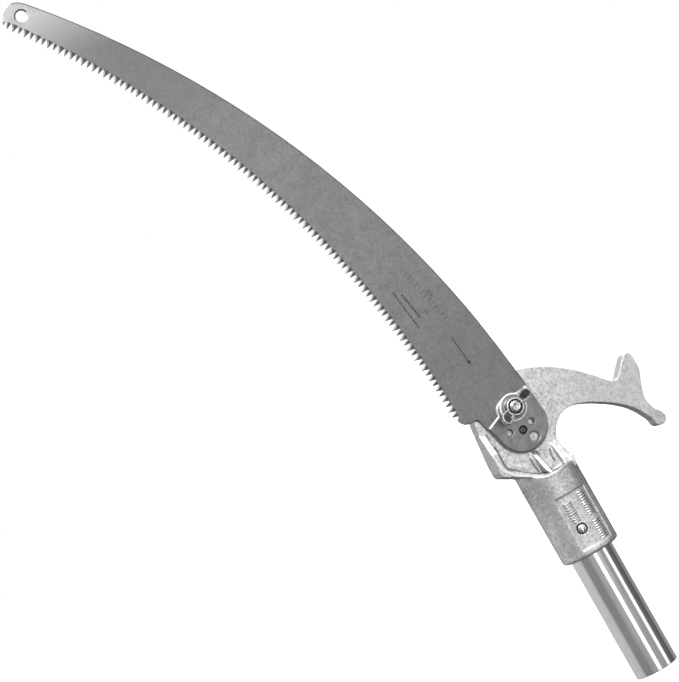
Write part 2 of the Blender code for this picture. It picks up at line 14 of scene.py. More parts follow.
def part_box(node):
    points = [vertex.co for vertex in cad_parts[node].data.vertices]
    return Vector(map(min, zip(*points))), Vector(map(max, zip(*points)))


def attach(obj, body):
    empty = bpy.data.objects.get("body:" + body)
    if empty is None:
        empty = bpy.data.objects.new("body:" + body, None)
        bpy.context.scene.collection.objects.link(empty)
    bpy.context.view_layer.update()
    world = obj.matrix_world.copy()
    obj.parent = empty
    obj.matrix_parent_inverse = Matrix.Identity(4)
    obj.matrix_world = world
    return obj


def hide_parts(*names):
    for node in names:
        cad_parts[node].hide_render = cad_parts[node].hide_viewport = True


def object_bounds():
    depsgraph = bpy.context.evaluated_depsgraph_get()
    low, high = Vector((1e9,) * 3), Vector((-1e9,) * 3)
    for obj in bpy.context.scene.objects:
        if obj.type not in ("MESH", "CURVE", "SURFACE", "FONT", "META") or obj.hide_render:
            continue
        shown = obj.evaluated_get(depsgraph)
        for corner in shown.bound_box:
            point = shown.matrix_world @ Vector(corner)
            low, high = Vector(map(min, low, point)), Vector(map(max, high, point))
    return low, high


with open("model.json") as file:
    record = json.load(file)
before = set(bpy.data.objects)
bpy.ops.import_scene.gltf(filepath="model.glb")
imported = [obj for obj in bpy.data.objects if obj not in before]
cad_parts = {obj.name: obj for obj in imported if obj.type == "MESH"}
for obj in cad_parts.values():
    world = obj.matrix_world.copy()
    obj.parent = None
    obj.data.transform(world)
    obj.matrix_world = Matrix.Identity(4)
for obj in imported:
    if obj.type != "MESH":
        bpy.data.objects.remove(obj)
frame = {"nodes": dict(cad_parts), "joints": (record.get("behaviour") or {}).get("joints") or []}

MM = 0.001
nodes = frame["nodes"]
scene = bpy.context.scene
cad_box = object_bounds()


# ------------------------ places read from the frame

joint_at = {j["name"]: Vector(j["pos_m"]) for j in frame["joints"]}
joint_axis = {j["name"]: Vector(j["axis"]).normalized() for j in frame["joints"]}
BOLT_AXIS = joint_at["wing_nut_turn"]
BUTTON_Z = joint_at["snap_button_press"].z
PRESS = joint_axis["snap_button_press"]

tube_low, tube_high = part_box("pole_tube")
TUBE_R = (tube_high.y - tube_low.y) / 2
TUBE_WALL = 2.0 * MM
head_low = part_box("head_casting")[0]
SOCKET_R = -head_low.y
SOCKET_X = 0.3 * MM         # the socket's axis stands this far to the hook side of the tube's


# ------------------------ small mesh tools

def mesh_object(name, bm, smooth_deg=None):
    """A scene object from a bmesh, outward normals, smooth where faces meet under smooth_deg."""
    bmesh.ops.recalc_face_normals(bm, faces=bm.faces)
    mesh = bpy.data.meshes.new(name)
    bm.to_mesh(mesh)
    bm.free()
    if smooth_deg is not None:
        mesh.shade_smooth()
        if smooth_deg < 180:
            mesh.set_sharp_from_angle(angle=math.radians(smooth_deg))
    made = bpy.data.objects.new(name, mesh)
    scene.collection.objects.link(made)
    return made


def bake_modifiers(made):
    """Replaces the mesh by its evaluated one, so no modifier is left on the piece."""
    bpy.context.view_layer.update()
    shaped = made.evaluated_get(bpy.context.evaluated_depsgraph_get())
    mesh = bpy.data.meshes.new_from_object(shaped)
    made.modifiers.clear()
    made.data = mesh


def finish_piece(made, body, slot, stands_for, *materials):
    """Materials in the order of the faces' indices, then the body, the slot and the node replaced; the slot
    is not used.
    """
    kinds = [f.material_index for f in made.data.polygons]
    made.data.materials.clear()         # this puts every face back to the first material
    for m in materials:
        made.data.materials.append(m)
    made.data.polygons.foreach_set("material_index", kinds)
    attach(made, body)
    if stands_for:
        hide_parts(stands_for)


def cad_bmesh(node):
    """The CAD node's mesh with its split corners welded."""
    bm = bmesh.new()
    bm.from_mesh(nodes[node].data)
    bmesh.ops.remove_doubles(bm, verts=bm.verts, dist=2e-6)
    return bm


def recast(made, voxel, rounds):
    """An even skin of small faces, its sharp edges melted by rounds of smoothing."""
    remesh = made.modifiers.new("Remesh", "REMESH")
    remesh.mode = "VOXEL"
    remesh.voxel_size = voxel
    soften = made.modifiers.new("Soften", "SMOOTH")
    soften.factor = 0.5
    soften.iterations = rounds
    bake_modifiers(made)


def rounded(profile, radius, steps=3):
    """Profile with each inner corner replaced by a small curve."""
    points = [Vector(p) for p in profile]
    made = [points[0]]
    for before, here, after in zip(points, points[1:], points[2:]):
        back, ahead = before - here, after - here
        reach = min(radius, back.length * 0.45, ahead.length * 0.45)
        a, b = here + back.normalized() * reach, here + ahead.normalized() * reach
        for i in range(steps + 1):
            t = i / steps
            made.append(a * (1 - t) ** 2 + here * 2 * t * (1 - t) + b * t ** 2)
    return made + [points[-1]]


def circle(bm, r, z, steps):
    """A ring of vertices round +Z, or a single one on the axis."""
    if r < 1e-6:
        return [bm.verts.new((0, 0, z))]
    return [bm.verts.new((r * math.cos(math.tau * i / steps), r * math.sin(math.tau * i / steps), z))
            for i in range(steps)]


def lathe(profile, steps=96, closed=False):
    """A surface turned about +Z from (radius, height) points; ends on the axis close to a point."""
    bm = bmesh.new()
    rings = [circle(bm, r, z, steps) for r, z in profile]
    pairs = list(zip(rings, rings[1:]))
    if closed:
        pairs.append((rings[-1], rings[0]))
    join_rings(bm, pairs, steps)
    return bm


def join_rings(bm, pairs, steps):
    """Faces between each pair of rings, either of which may be a single vertex."""
    for low, high in pairs:
        for i in range(steps):
            j = (i + 1) % steps
            corners = [low[i % len(low)], low[j % len(low)], high[j % len(high)], high[i % len(high)]]
            unique = list(dict.fromkeys(corners))
            if len(unique) > 2:
                bm.faces.new(unique)


def to_front(bm, at):
    """Turns a bmesh built along +Z to point along -Y from a place."""
    for v in bm.verts:
        v.co = Vector((v.co.x, -v.co.z, v.co.y)) + Vector(at)
    return bm


def boolean(made, cutter, operation="DIFFERENCE"):
    """Cuts the cutter out of the piece, or joins it on, and removes the cutter."""
    tool = made.modifiers.new(operation.title(), "BOOLEAN")
    tool.operation = operation
    tool.solver = "EXACT"
    tool.object = cutter
    bake_modifiers(made)
    bpy.data.objects.remove(cutter)


def round_edges(made, width, segments, angle_deg):
    """Rounds the edges sharper than angle_deg."""
    bevel = made.modifiers.new("Bevel", "BEVEL")
    bevel.width = width
    bevel.segments = segments
    bevel.limit_method = "ANGLE"
    bevel.angle_limit = math.radians(angle_deg)
    bevel.harden_normals = False
    bake_modifiers(made)
    made.data.shade_smooth()
    made.data.set_sharp_from_angle(angle=math.radians(38))
    weigh_normals(made)


def weigh_normals(made):
    """Keeps large flat faces flat-looking beside small rounded ones."""
    weighted = made.modifiers.new("Weighted", "WEIGHTED_NORMAL")
    weighted.weight = 100
    weighted.keep_sharp = True
    bake_modifiers(made)


# ------------------------ material tools

def add_node(tree, kind, inputs=None, **settings):
    """A shader node with its settings, and its inputs either linked or set."""
    made = tree.nodes.new("ShaderNode" + kind)
    for key, value in settings.items():
        setattr(made, key, value)
    for key, value in (inputs or {}).items():
        if isinstance(value, bpy.types.NodeSocket):
            tree.links.new(value, made.inputs[key])
        else:
            made.inputs[key].default_value = value
    return made


class Shader:
    """A Principled material built node by node. Lengths inside are in millimetres."""

    def __init__(self, name, colour, metallic, roughness):
        self.material = bpy.data.materials.new(name)
        self.material.use_nodes = True
        self.tree = self.material.node_tree
        self.bsdf = self.tree.nodes["Principled BSDF"]
        self.bsdf.inputs["Base Color"].default_value = (*colour, 1)
        self.bsdf.inputs["Metallic"].default_value = metallic
        self.bsdf.inputs["Roughness"].default_value = roughness
        self.material.diffuse_color = (*colour, 1)

    def add(self, kind, inputs=None, **settings):
        return add_node(self.tree, kind, inputs, **settings)

    def place(self, stretch=(1, 1, 1), turn=(0, 0, 0)):
        """Object coordinates in millimetres, squeezed by stretch."""
        where = self.add("TexCoord").outputs["Object"]
        scale = tuple(1000 * s for s in stretch)
        return self.add("Mapping", {"Vector": where, "Scale": scale, "Rotation": turn}).outputs["Vector"]

    def grain(self, size, where=None, detail=3.0, rough=0.55, distort=0.0):
        """Noise from 0 to 1 with features of about size millimetres."""
        made = self.add("TexNoise", {"Vector": where or self.place(), "Scale": 1 / size,
                                     "Detail": detail, "Roughness": rough, "Distortion": distort})
        return made.outputs["Fac"]

    def spots(self, size, radius, where=None):
        """1 inside scattered round spots of radius mm on cells of size mm, 0 outside."""
        cell = self.add("TexVoronoi", {"Vector": where or self.place(), "Scale": 1 / size,
                                       "Randomness": 1.0})
        return self.span(cell.outputs["Distance"], radius / size, radius / size * 0.4, 0, 1)

    def span(self, value, a, b, low=0.0, high=1.0):
        """Maps a..b to low..high, clamped and eased."""
        made = self.add("MapRange", {"Value": value, "From Min": a, "From Max": b, "To Min": low,
                                     "To Max": high}, clamp=True, interpolation_type="SMOOTHSTEP")
        return made.outputs["Result"]

    def maths(self, operation, a, b=0.0):
        return self.add("Math", {0: a, 1: b}, operation=operation).outputs["Value"]

    def times(self, a, b):
        return self.maths("MULTIPLY", a, b)

    def height(self, axis="Z"):
        """Object coordinate along an axis, in millimetres."""
        return self.add("SeparateXYZ", {"Vector": self.place()}).outputs[axis]

    def mix(self, factor, a, b):
        """Colour a turning into b; each is a socket or a plain colour."""
        made = self.add("Mix", data_type="RGBA")
        for socket, value in zip((made.inputs["Factor"], made.inputs[6], made.inputs[7]), (factor, a, b)):
            if isinstance(value, bpy.types.NodeSocket):
                self.tree.links.new(value, socket)
            elif isinstance(value, (int, float)):
                socket.default_value = value
            else:
                socket.default_value = (*value, 1)
        return made.outputs[2]

    def pointiness(self):
        """About 0.5 on flat skin, more on convex edges and less in creases."""
        return self.add("NewGeometry").outputs["Pointiness"]

    def from_bolt(self):
        """Distance from the bolt's axis in millimetres."""
        x = self.maths("SUBTRACT", self.height("X"), BOLT_AXIS.x / MM)
        z = self.maths("SUBTRACT", self.height("Z"), BOLT_AXIS.z / MM)
        squares = self.maths("ADD", self.times(x, x), self.times(z, z))
        return self.maths("SQRT", squares)

    def shade_mask(self, reach, low, high):
        """1 deep in corners and recesses within reach mm, 0 in the open: the mask for painted shade."""
        shade = self.add("AmbientOcclusion", {"Distance": reach * MM}, samples=8)
        return self.span(shade.outputs["AO"], high, low)

    def use(self, name, socket):
        self.tree.links.new(socket, self.bsdf.inputs[name])

    def bump(self, layers):
        """Chains (height socket, depth in mm) layers into the normal."""
        normal = None
        for height, depth in layers:
            made = self.add("Bump", {"Height": height, "Distance": depth * MM, "Strength": 1.0})
            if normal:
                self.tree.links.new(normal, made.inputs["Normal"])
            normal = made.outputs["Normal"]
        self.use("Normal", normal)


def grey(value):
    return (value, value, value * 1.005)


# ------------------------ materials

def cast_material():
    m = Shader("cast_aluminium_sand", grey(0.72), 0.9, 0.5)
    fine, mottle = m.grain(1.9, detail=3, rough=0.7), m.grain(4.2, detail=3)
    broad = m.grain(15.0, detail=3)
    pits = m.spots(7.5, 0.62)
    # the plate is even, the socket cloudy with a darker collar
    socket = m.span(m.height(), 156.0, 151.0)
    tone = m.mix(m.span(mottle, 0.33, 0.68), grey(0.68), grey(0.81))
    darker = m.mix(m.span(broad, 0.36, 0.62), grey(0.66), grey(0.84))
    darker = m.mix(m.span(mottle, 0.55, 0.72, 0.0, 0.45), darker, grey(0.50))
    collar = m.times(m.span(m.height(), 128.0, 141.0, 0.0, 0.55), socket)
    tone = m.mix(collar, m.mix(socket, tone, darker), grey(0.46))
    # dark and bright grains, sand pits, painted shade in corners and along the creases, and painted
    # highlights along the crests
    tone = m.mix(m.span(fine, 0.51, 0.66, 0.0, 0.66), tone, grey(0.34))
    tone = m.mix(m.span(fine, 0.47, 0.33, 0.0, 0.72), tone, grey(1.0))
    tone = m.mix(m.times(pits, 0.6), tone, grey(0.14))
    tone = m.mix(m.times(m.shade_mask(1.8, 0.58, 0.92), 0.85), tone, grey(0.10))
    relief = m.add("Attribute", attribute_name="relief").outputs["Fac"]
    tone = m.mix(m.span(relief, -0.15, -0.85, 0.0, 0.80), tone, grey(0.14))
    tone = m.mix(m.span(relief, 0.15, 0.80, 0.0, 0.9), tone, grey(1.0))
    # towards the hook's end the skin is darker; edges facing the upper left get a painted highlight and all
    # other edges painted shade
    tone = m.mix(m.span(m.height("X"), 18.0, 66.0, 0.0, 0.5), tone, grey(0.56))
    normal = m.add("TexCoord").outputs["Normal"]
    way = m.add("VectorMath", {0: normal, 1: (-0.75, -0.1, 0.65)}, operation="DOT_PRODUCT").outputs["Value"]
    edge_highlight_and_shade = m.mix(m.span(way, -0.30, 0.15), grey(0.26), grey(0.98))
    m.use("Base Color", m.mix(m.span(m.pointiness(), 0.525, 0.585), tone, edge_highlight_and_shade))
    m.use("Roughness", m.span(fine, 0.3, 0.7, 0.42, 0.60))
    m.bump([(mottle, 0.06), (fine, 0.07), (pits, -0.12)])
    m.bsdf.inputs["Specular Tint"].default_value = (0.25, 0.25, 0.25, 1)
    return m.material


def grained_material(name, metallic, size, tones, roughness, depth, spread=0.15, rough=0.55,
                     stretch=(1, 1, 1)):
    """Plain metal whose grey, gloss and height follow one fine grain, size and depth in millimetres."""
    m = Shader(name, grey(sum(tones) / 2), metallic, sum(roughness) / 2)
    grain = m.grain(size, m.place(stretch), detail=3, rough=rough)
    low, high = (grey(tone) for tone in tones)
    m.use("Base Color", m.mix(m.span(grain, 0.5 - spread, 0.5 + spread), low, high))
    m.use("Roughness", m.span(grain, 0.3, 0.7, *roughness))
    m.bump([(grain, depth)])
    return m.material


def bar_material():
    return grained_material("cast_aluminium_raised", 0.95, 0.7, (0.78, 0.95), (0.28, 0.42), 0.03)


def blade_material():
    m = Shader("blade_steel_satin", grey(0.25), 1.0, 0.38)
    along = m.place((1.0, 1.0, 0.06))
    lines = m.grain(0.35, along, detail=4, rough=0.6)
    fine = m.grain(1.9, detail=4, rough=0.7)
    cloud = m.grain(9.0, detail=4, distort=0.6)
    stain = m.grain(34.0, detail=3)
    specks = m.spots(15.0, 0.5)
    # clouds, stains, rolling lines and grains, darker in the middle, and a painted reflection lighter
    # towards the far end
    tone = m.mix(m.span(cloud, 0.3, 0.7), grey(0.225), grey(0.285))
    tone = m.mix(m.span(m.height(), 345.0, 240.0, 0.0, 0.5), tone, grey(0.195))
    tone = m.mix(m.span(stain, 0.42, 0.68, 0.0, 0.35), tone, grey(0.205))
    tone = m.mix(m.span(lines, 0.40, 0.62, 0.0, 0.20), tone, grey(0.36))
    tone = m.mix(m.span(fine, 0.50, 0.66, 0.0, 0.38), tone, grey(0.14))
    tone = m.mix(m.span(fine, 0.46, 0.32, 0.0, 0.30), tone, grey(0.40))
    tone = m.mix(m.span(m.height(), 462.0, 525.0, 0.0, 0.45), tone, grey(0.185))
    # painted reflection: the far end lighter
    tone = m.mix(m.span(m.height(), 551.0, 607.0), tone, grey(0.54))
    tone = m.mix(m.times(specks, 0.55), tone, grey(0.8))
    m.use("Base Color", tone)
    m.use("Roughness", m.span(cloud, 0.3, 0.7, 0.34, 0.46))
    m.bump([(stain, 0.05), (lines, 0.006), (fine, 0.006)])
    return m.material


def edge_shade_material():
    """Painted shade on the blade's back edge and on the upper half of the hole in its end, as near-black
    steel.
    """
    return grained_material("blade_edge_painted_shade", 1.0, 0.3, (0.03, 0.075), (0.36, 0.50), 0.01,
                            stretch=(1.0, 1.0, 0.2))


def ground_and_highlight_material():
    """Freshly ground facets of the teeth, also used as a painted highlight on the teeth's unground flanks
    and the walls of the blade's holes.
    """
    return grained_material("tooth_grind_and_painted_highlight", 0.5, 0.16, (0.36, 0.54), (0.34, 0.48), 0.01,
                            stretch=(1.0, 0.15, 1.0))


def etch_material(name, low, high):
    """Dull, patchy dark metal between two greys."""
    return grained_material(name, 0.9, 0.9, (low, high), (0.42, 0.60), 0.01, spread=0.12, rough=0.7)


def clamp_material():
    m = Shader("clamp_steel_satin", grey(0.2), 1.0, 0.36)
    lines = m.grain(0.4, m.place((1.0, 1.0, 0.1), (0, 0.5, 0)), detail=4)
    cloud = m.grain(6.0, detail=3)
    fine = m.grain(1.2, detail=3, rough=0.7)
    tone = m.mix(m.span(cloud, 0.3, 0.7), grey(0.215), grey(0.31))
    tone = m.mix(m.span(lines, 0.4, 0.62, 0.0, 0.2), tone, grey(0.40))
    m.use("Base Color", m.mix(m.span(fine, 0.50, 0.68, 0.0, 0.4), tone, grey(0.12)))
    m.use("Roughness", m.span(cloud, 0.3, 0.7, 0.30, 0.44))
    m.bump([(lines, 0.006), (cloud, 0.015)])
    return m.material


def edge_highlight_material():
    """Painted highlight, as pale dull metal, on the clamp plate's lit edges and its hole walls."""
    return grained_material("clamp_edge_painted_highlight", 0.35, 0.8, (0.84, 0.98), (0.38, 0.52), 0.01)


def plated_material(name, low, high, roughness, size, shade_reach=0.0, highlight_spans=()):
    """Zinc plate, cloudy and slightly uneven, with painted shade in hollows within a given reach, and a
    painted highlight from one value to another of each measure.
    """
    m = Shader(name, grey((low + high) / 2), 1.0, roughness)
    cloud = m.grain(size, detail=4)
    fine = m.grain(size / 6, detail=2)
    tone = m.mix(m.span(cloud, 0.32, 0.68), grey(low), grey(high))
    tone = m.mix(m.span(fine, 0.55, 0.72, 0.0, 0.3), tone, grey(low * 0.7))
    rough = m.span(cloud, 0.3, 0.7, roughness * 0.75, roughness * 1.3)
    if shade_reach:
        # painted shade in corners and recesses
        tone = m.mix(m.times(m.shade_mask(shade_reach, 0.3, 0.85), 0.92), tone, grey(0.05))
    measures = {"radius": m.from_bolt, "edge": m.pointiness, "depth": lambda: m.height("Y")}
    lit_share = None
    for measure, start, end in highlight_spans:
        part = m.span(measures[measure](), start, end)
        lit_share = m.maths("MAXIMUM", lit_share, part) if lit_share else part
    # painted highlights, paler and less metallic
    if lit_share:
        tone = m.mix(lit_share, tone, grey(0.98))
        rough = m.maths("MAXIMUM", rough, m.times(lit_share, 0.45))
        m.use("Metallic", m.span(lit_share, 0.0, 1.0, 1.0, 0.35))
    m.use("Base Color", tone)
    m.use("Roughness", rough)
    m.bump([(cloud, 0.008), (fine, 0.0015)])
    return m.material


def tube_material():
    m = Shader("tube_polished", grey(0.86), 1.0, 0.10)
    along = m.place((1.0, 1.0, 0.015))
    lines = m.grain(0.5, along, detail=4, rough=0.6)
    cloud = m.grain(9.0, m.place((1.0, 1.0, 0.3)), detail=3)
    scuffs = m.spots(9.0, 0.35, m.place((1.0, 1.0, 0.25)))
    tone = m.mix(m.span(cloud, 0.3, 0.7), grey(0.80), grey(0.90))
    m.use("Base Color", m.mix(m.span(lines, 0.5, 0.68, 0.0, 0.25), tone, grey(0.62)))
    rough = m.span(lines, 0.3, 0.7, 0.07, 0.15)
    m.use("Roughness", m.maths("ADD", rough, m.times(scuffs, 0.12)))
    m.bump([(lines, 0.0035), (cloud, 0.01)])
    return m.material


def chrome_material():
    m = Shader("button_polished", grey(0.88), 1.0, 0.06)
    cloud = m.grain(1.6, detail=3)
    tone = m.mix(m.span(cloud, 0.3, 0.7), grey(0.74), grey(0.90))
    # painted shade in the gap round the dome, near black
    m.use("Base Color", m.mix(m.times(m.shade_mask(3.0, 0.45, 0.95), 0.95), tone, grey(0.03)))
    m.use("Roughness", m.span(cloud, 0.3, 0.7, 0.04, 0.12))
    m.bump([(cloud, 0.004)])
    return m.material


def pin_material():
    return grained_material("pin_oiled_steel", 1.0, 0.6, (0.06, 0.15), (0.26, 0.42), 0.01, spread=0.2)


# ------------------------ the cast head

# (x, z) in millimetres of the crests and creases that the pattern's ribs leave on the front
CRESTS = [[(-30.9, 199.7), (-31.8, 190.4), (-31.4, 183.3), (-29.7, 171.5), (-23.3, 164.0), (-6.5, 154.0),
           (1.7, 153.8), (11.0, 155.5), (12.5, 161.5), (11.4, 170.0), (9.9, 172.8)],
          [(-4.9, 172.3), (-3.0, 163.4), (-1.9, 154.9)]]
CREASES = [[(-24.4, 188.0), (-24.9, 183.9), (-24.9, 175.1), (-24.2, 170.9), (-16.8, 163.9), (-8.2, 157.6),
            (-2.3, 155.4)],
           [(-6.9, 169.0), (-6.8, 164.0), (-5.9, 158.6)], [(-0.4, 171.3), (0.0, 163.2), (3.1, 154.5)],
           [(8.8, 168.2), (7.7, 163.9), (7.9, 159.8)]]


def nearness(point, lines, reach):
    """1 on one of the lines, falling smoothly to 0 at reach millimetres."""
    best = reach
    for line in lines:
        for a, b in zip(line, line[1:]):
            a, b = Vector(a), Vector(b)
            along = b - a
            t = min(1, max(0, (point - a).dot(along) / along.length_squared))
            best = min(best, (a + along * t - point).length)
    t = 1 - best / reach
    return t * t * (3 - 2 * t)


CREST_REACH, CREASE_REACH = 1.6, 1.4        # half widths of the lines, in millimetres
RELIEF = 0.45                               # how far a line rises or sinks, in millimetres
TUBE_CLEAR = 1.2 * MM                       # the skin this near to the tube isn't moved


def ribbed_front(p, normal):
    """Whether a point in millimetres is on the front of the plate or its ribs, where the lines are."""
    return p.y < -5.5 and 152 < p.z < 201 and p.x < 16 and normal.y < 0.1


def cast_head():
    made = mesh_object("cast_head", cad_bmesh("head_casting"))
    recast(made, 0.5 * MM, 5)
    mesh = made.data
    normals = [n.vector.copy() for n in mesh.vertex_normals]
    moved, relief, ribbed = [], [], []
    for v, normal in zip(mesh.vertices, normals):
        p = v.co * 1000
        # sand-cast unevenness, broad and fine, kept inside the solid
        shift = noise.noise(p * 0.16) * 0.10 + noise.noise(p * 0.55) * 0.045 - 0.06
        line = 0.0
        if ribbed_front(p, normal):
            ribbed.append(v.index)
            spot = Vector((p.x, p.z))
            crest = nearness(spot, CRESTS, CREST_REACH) if normal.y < -0.25 else 0.0
            line = crest - nearness(spot, CREASES, CREASE_REACH)
            shift += RELIEF * line
        outside = math.hypot(v.co.x, v.co.y) > TUBE_R + TUBE_CLEAR
        place = v.co + normal * shift * MM if outside else v.co.copy()
        place.y = max(place.y, head_low.y)
        moved.extend(place)
        relief.append(line)
    mesh.vertices.foreach_set("co", moved)
    mesh.attributes.new("relief", "FLOAT", "POINT").data.foreach_set("value", relief)
    # fewer faces where the skin is plain
    plain = made.vertex_groups.new(name="plain")
    plain.add(list(range(len(mesh.vertices))), 1.0, "REPLACE")
    plain.remove(ribbed)
    thin = made.modifiers.new("Thin", "DECIMATE")
    thin.ratio = 0.55
    thin.vertex_group = plain.name
    bake_modifiers(made)
    made.vertex_groups.clear()
    made.data.shade_smooth()
    finish_piece(made, "head", "cast_aluminium", "head_casting", cast_material())


PANEL_DEPTH = 0.75 * MM
BAR_WIDTH, BAR_THICK = 1.0 * MM, 1.3 * MM
# degrees round the socket; lowest height, spacing, half gap and length in millimetres; pairs
BAR_COLUMNS = [(-12.6, 118.2, 3.9, 0.95, 6.6, 4), (24.5, 99.6, 3.7, 0.9, 6.4, 4),
               (24.5, 118.0, 3.7, 0.9, 6.4, 5)]


def panel_bars():
    """Plain raised bars in pairs, in two columns on the recessed panel."""
    face_r = SOCKET_R - PANEL_DEPTH
    bm = bmesh.new()

    def bar(angle_deg, z, length):
        start = len(bm.verts)
        box = bmesh.ops.create_cube(bm, size=1)
        bmesh.ops.scale(bm, verts=box["verts"], vec=(length, BAR_THICK, BAR_WIDTH))
        edges = list(dict.fromkeys(e for v in box["verts"] for e in v.link_edges))
        bmesh.ops.bevel(bm, geom=edges, offset=BAR_WIDTH * 0.32, segments=3, affect="EDGES")
        bm.verts.ensure_lookup_table()
        for v in bm.verts[start:]:
            turn = math.radians(angle_deg) + v.co.x / face_r
            r = face_r - v.co.y
            v.co = Vector((SOCKET_X + r * math.sin(turn), -r * math.cos(turn), z + v.co.z))

    for angle_deg, lowest, spacing, half_gap, length, pairs in BAR_COLUMNS:
        for pair in range(pairs):
            for side in (-1, 1):
                bar(angle_deg, (lowest + pair * spacing + side * half_gap) * MM, length * MM)
    made = mesh_object("panel_bars", bm, 180)
    finish_piece(made, "head", "cast_aluminium", None, bar_material())


# ------------------------ plates: blade and clamp

def front_loops(node):
    """Outlines of the plate's front face as lists of points, the outer one first."""
    bm = cad_bmesh(node)
    bm.normal_update()
    front = {f for f in bm.faces if f.normal.y < -0.5}
    links = {}
    for e in bm.edges:
        if sum(f in front for f in e.link_faces) == 1:
            a, b = (v.co.copy().freeze() for v in e.verts)
            links.setdefault(a, []).append(b)
            links.setdefault(b, []).append(a)
    loops = []
    while links:
        start = min(links, key=lambda p: (p.x, p.z))
        loop, last, here = [start], None, start
        while True:
            ahead = [p for p in links[here] if p != last]
            last, here = here, ahead[0]
            if here == start:
                break
            loop.append(here)
        for p in loop:
            del links[p]
        area = sum(p.x * q.z - q.x * p.z for p, q in zip(loop, loop[1:] + loop[:1])) / 2
        loops.append((abs(area), loop if area > 0 else loop[::-1]))
    bm.free()
    loops.sort(key=lambda item: -item[0])
    return [loop for _, loop in loops]


def turn_at(loop, i):
    """Signed turn of a counter-clockwise outline at a point, in degrees: positive at a corner."""
    a, b, c = loop[i - 1], loop[i], loop[(i + 1) % len(loop)]
    before, after = Vector((b.x - a.x, b.z - a.z)), Vector((c.x - b.x, c.z - b.z))
    return math.degrees(math.atan2(before.x * after.y - before.y * after.x, before.dot(after)))


def fill(bm, rings):
    """Fills the first ring of vertices, with the others open as holes."""
    edges = []
    for ring in rings:
        for v, w in zip(ring, ring[1:] + ring[:1]):
            edges.append(bm.edges.get((v, w)) or bm.edges.new((v, w)))
    bmesh.ops.triangle_fill(bm, use_beauty=True, use_dissolve=False, edges=edges)


# places in a plate's list of materials: its faces, ground metal and painted highlights, painted shade on
# the blade's back edge, and painted shade in the tooth middles
SATIN, BARE_AND_HIGHLIGHT, EDGE_SHADE, CORE_SHADE = range(4)

BEVEL = 0.95 * MM           # width of a tooth's ground facet
SET = 0.35 * MM             # how far the teeth lean out of the blade's faces
TIP_OUT = 0.9               # how far a tooth's point leans out, as a share of the set
TIP_TURN_DEG = 110          # the outline turns by more than this at the teeth's points only
# the middle of a tooth gets painted shade
TOOTH_CORE = (0.28, 0.74)   # where the darker middle of a tooth starts and ends across its foot
RIM, RIM_DEPTH = 0.6 * MM, 0.3 * MM         # rolled-over edge of the sheared blank
END_RIM = 1.5               # how much wider the rim is at the hole in the blade's end
END_HOLE_ABOVE = 500 * MM


def tooth_points(g0, tip, g1):
    """Inner line of a ground tooth: foot, point and foot, in x and z."""
    a, t, b = (Vector((p.x, p.z)) for p in (g0, tip, g1))
    middle = (a + b) / 2

    def inward(p, q):
        side = Vector((-(q - p).y, (q - p).x)).normalized()
        return side if side.dot(middle - p + (middle - t) * 0.3) > 0 else -side

    n0, n1 = inward(a, t), inward(b, t)
    foot0, foot1 = a + n0 * BEVEL, b + n1 * BEVEL
    half = math.asin(min(1, (a - middle).length / (a - t).length))
    point = t + (middle - t).normalized() * (BEVEL / math.sin(half))
    return foot0, point, foot1


